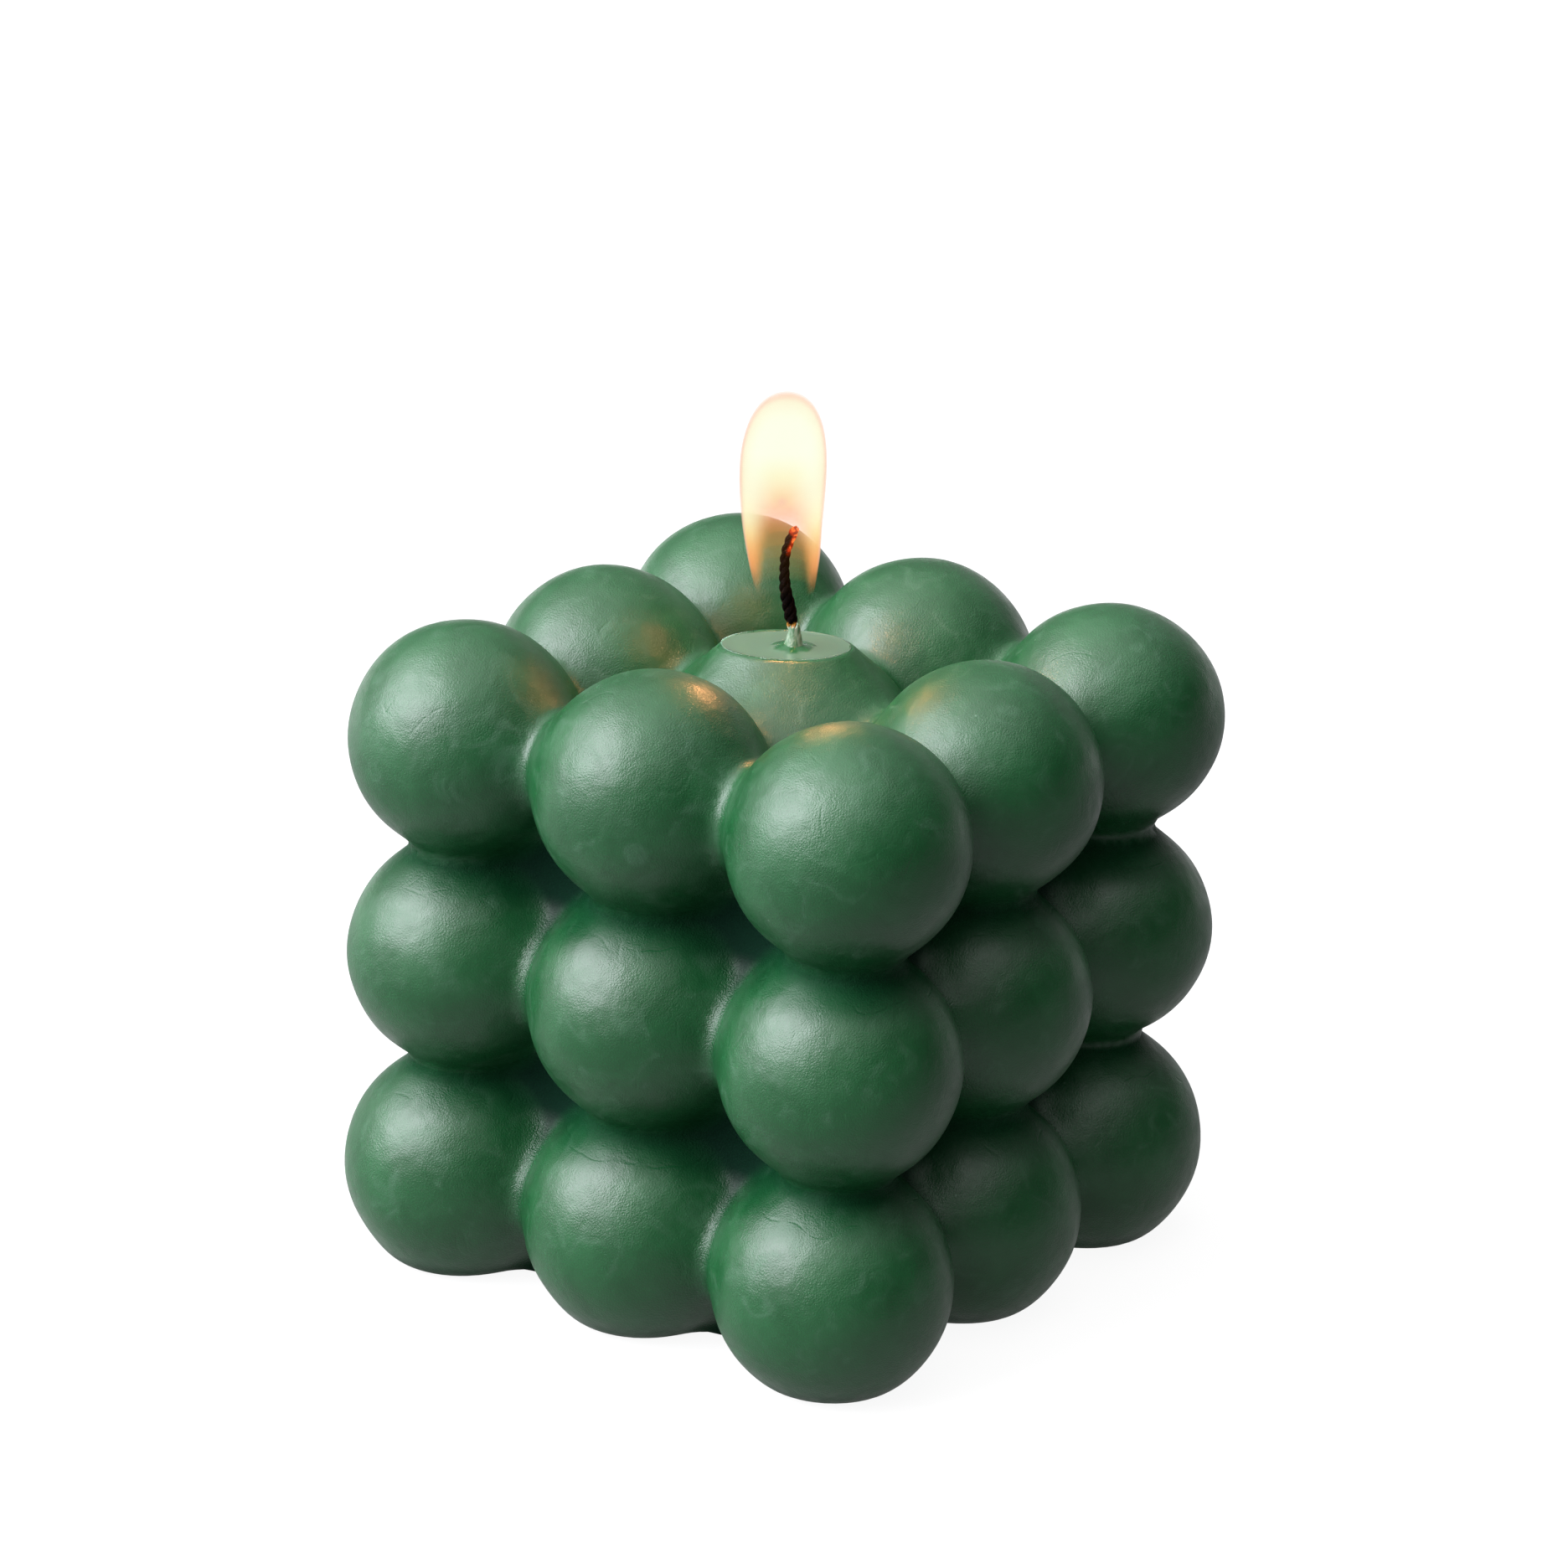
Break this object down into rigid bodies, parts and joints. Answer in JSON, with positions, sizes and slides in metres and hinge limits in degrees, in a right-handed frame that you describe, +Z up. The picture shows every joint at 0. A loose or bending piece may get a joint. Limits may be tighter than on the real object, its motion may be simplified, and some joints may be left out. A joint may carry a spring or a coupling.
{
  "type": "bubble cube candle",
  "caption": "Cube candle of wax balls joined by filleted waists over a flat base, with a melted top ball, a curved cotton wick and its flame.",
  "frame": {"origin": "middle of the flat base, on the surface that the candle stands on", "axes": "+Z up along the wick, +X and +Y along the rows of balls, towards two side faces of the cube"},
  "size_m": [0.06, 0.06, 0.079],
  "materials": {
    "wax": "green candle wax, satin, slightly translucent, with a fine grain and pale bloom",
    "liquid_wax": "clear green liquid wax, mirror smooth",
    "wick_cotton": "braided cotton cord, charred black above, waxed and pale at its foot, red hot at its tip",
    "flame_glow": "luminous gas, see-through, brightest in the middle"
  },
  "bodies": {
    "root": {"candle_body": "wax", "melt_pool": "liquid_wax", "wick": "wick_cotton", "flame": "flame_glow"}
  },
  "joints": []
}
